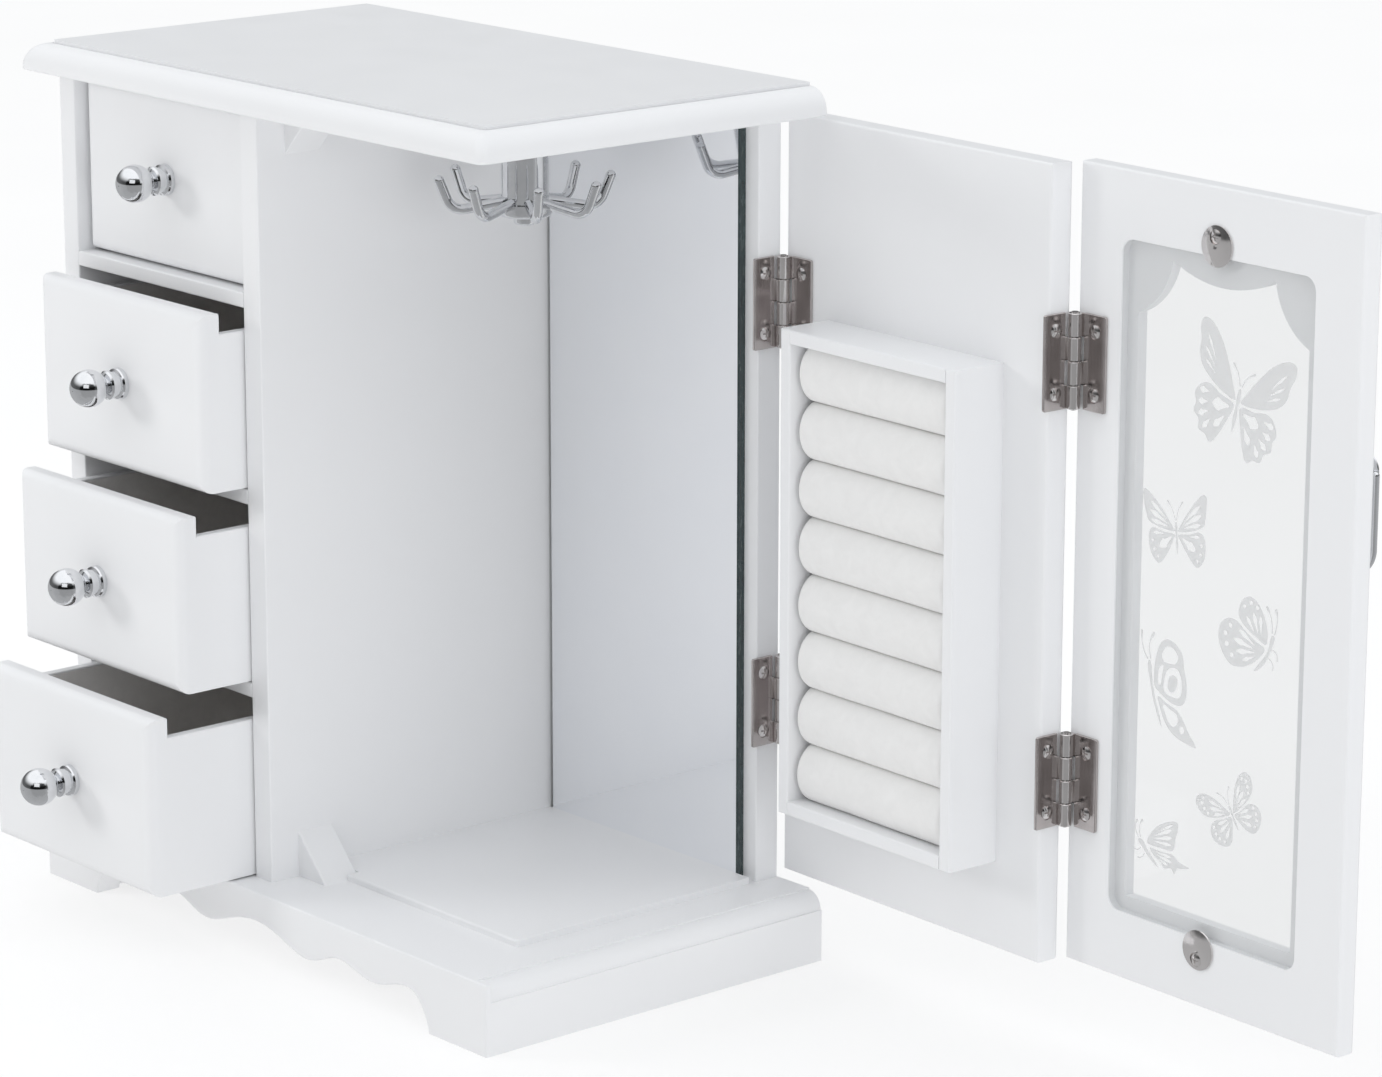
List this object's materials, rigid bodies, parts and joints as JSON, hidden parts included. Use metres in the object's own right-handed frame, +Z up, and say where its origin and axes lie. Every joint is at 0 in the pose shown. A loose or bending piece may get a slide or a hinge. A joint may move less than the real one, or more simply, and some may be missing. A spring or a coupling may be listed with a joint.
{
  "type": "jewelry armoire",
  "caption": "White tabletop jewelry armoire with drawers, a mirrored compartment with a turning hook carousel, and a folding pair of doors holding a ring tray and etched glass.",
  "frame": {"origin": "on the ground under the middle of the whole box, with the doors open and drawers staggered as at rest", "axes": "+X to the object's right, towards the open doors; +Y to the back; +Z up"},
  "size_m": [0.512, 0.235, 0.32],
  "materials": {
    "painted_wood": "satin white paint on fibreboard",
    "velvet": "off-white velvet over foam",
    "chrome": "polished",
    "nickel": "nickel plate",
    "mirror": "silvered glass",
    "glass": "clear float glass with frosted ornament"
  },
  "bodies": {
    "cabinet": {"top_panel": "painted_wood", "base_board": "painted_wood", "front_apron": "painted_wood", "left_foot_rail": "painted_wood", "right_foot_rail": "painted_wood", "left_side_panel": "painted_wood", "partition_panel": "painted_wood", "back_panel": "painted_wood", "lower_drawer_shelf": "painted_wood", "middle_drawer_shelf": "painted_wood", "upper_drawer_shelf": "painted_wood", "compartment_floor_pad": "painted_wood", "lower_stop_block": "painted_wood", "upper_stop_block": "painted_wood", "mirror": "mirror", "carousel_spindle": "chrome", "cabinet_hinge_leaves": "nickel", "cabinet_hinge_pins": "nickel", "cabinet_hinge_screws": "nickel"},
    "carousel": {"hook_carousel": "chrome"},
    "top_drawer": {"top_drawer_front": "painted_wood", "top_drawer_left_side": "painted_wood", "top_drawer_right_side": "painted_wood", "top_drawer_back": "painted_wood", "top_drawer_bottom": "painted_wood", "top_drawer_knob": "chrome"},
    "second_drawer": {"second_drawer_front": "painted_wood", "second_drawer_left_side": "painted_wood", "second_drawer_right_side": "painted_wood", "second_drawer_back": "painted_wood", "second_drawer_bottom": "painted_wood", "second_drawer_knob": "chrome"},
    "third_drawer": {"third_drawer_front": "painted_wood", "third_drawer_left_side": "painted_wood", "third_drawer_right_side": "painted_wood", "third_drawer_back": "painted_wood", "third_drawer_bottom": "painted_wood", "third_drawer_knob": "chrome"},
    "bottom_drawer": {"bottom_drawer_front": "painted_wood", "bottom_drawer_left_side": "painted_wood", "bottom_drawer_right_side": "painted_wood", "bottom_drawer_back": "painted_wood", "bottom_drawer_bottom": "painted_wood", "bottom_drawer_knob": "chrome"},
    "side_door": {"side_door_panel": "painted_wood", "ring_tray_side_walls": "painted_wood", "ring_tray_end_walls": "painted_wood", "ring_rolls": "velvet", "side_door_hinge_leaves": "nickel", "corner_hinge_leaves": "nickel", "corner_hinge_pins": "nickel", "side_door_screws": "nickel"},
    "front_door": {"front_door_frame": "painted_wood", "door_glass": "glass", "glass_clips": "nickel", "front_door_hinge_leaves": "nickel", "front_door_screws": "nickel", "handle_rosette": "chrome"},
    "handle_ring": {"handle_ring": "chrome"}
  },
  "joints": [
    {"name": "bottom_drawer_slide", "type": "slide", "parent": "cabinet", "child": "bottom_drawer", "axis": [0, -1, 0], "range_m": [-0.0488, 0.0362]},
    {"name": "third_drawer_slide", "type": "slide", "parent": "cabinet", "child": "third_drawer", "axis": [0, -1, 0], "range_m": [-0.0342, 0.0508]},
    {"name": "second_drawer_slide", "type": "slide", "parent": "cabinet", "child": "second_drawer", "axis": [0, -1, 0], "range_m": [-0.0223, 0.0627]},
    {"name": "top_drawer_slide", "type": "slide", "parent": "cabinet", "child": "top_drawer", "axis": [0, -1, 0], "range_m": [0, 0.085]},
    {"name": "side_door_hinge", "type": "hinge", "parent": "cabinet", "child": "side_door", "pos_m": [-0.00776, 0.09073, 0.167], "axis": [0, 0, 1], "range_deg": [-88.25, 40]},
    {"name": "front_door_hinge", "type": "hinge", "parent": "side_door", "child": "front_door", "pos_m": [0.12884, 0.09856, 0.167], "axis": [0, 0, 1], "range_deg": [-90, 40]},
    {"name": "carousel_spin", "type": "hinge", "parent": "cabinet", "child": "carousel", "pos_m": [-0.06376, 0.01933, 0.29], "axis": [0, 0, 1], "continuous": true},
    {"name": "handle_ring_swing", "type": "hinge", "parent": "front_door", "child": "handle_ring", "pos_m": [0.24318, 0.11117, 0.221], "axis": [0.9995, -0.0305, 0], "range_deg": [0, 95]}
  ]
}
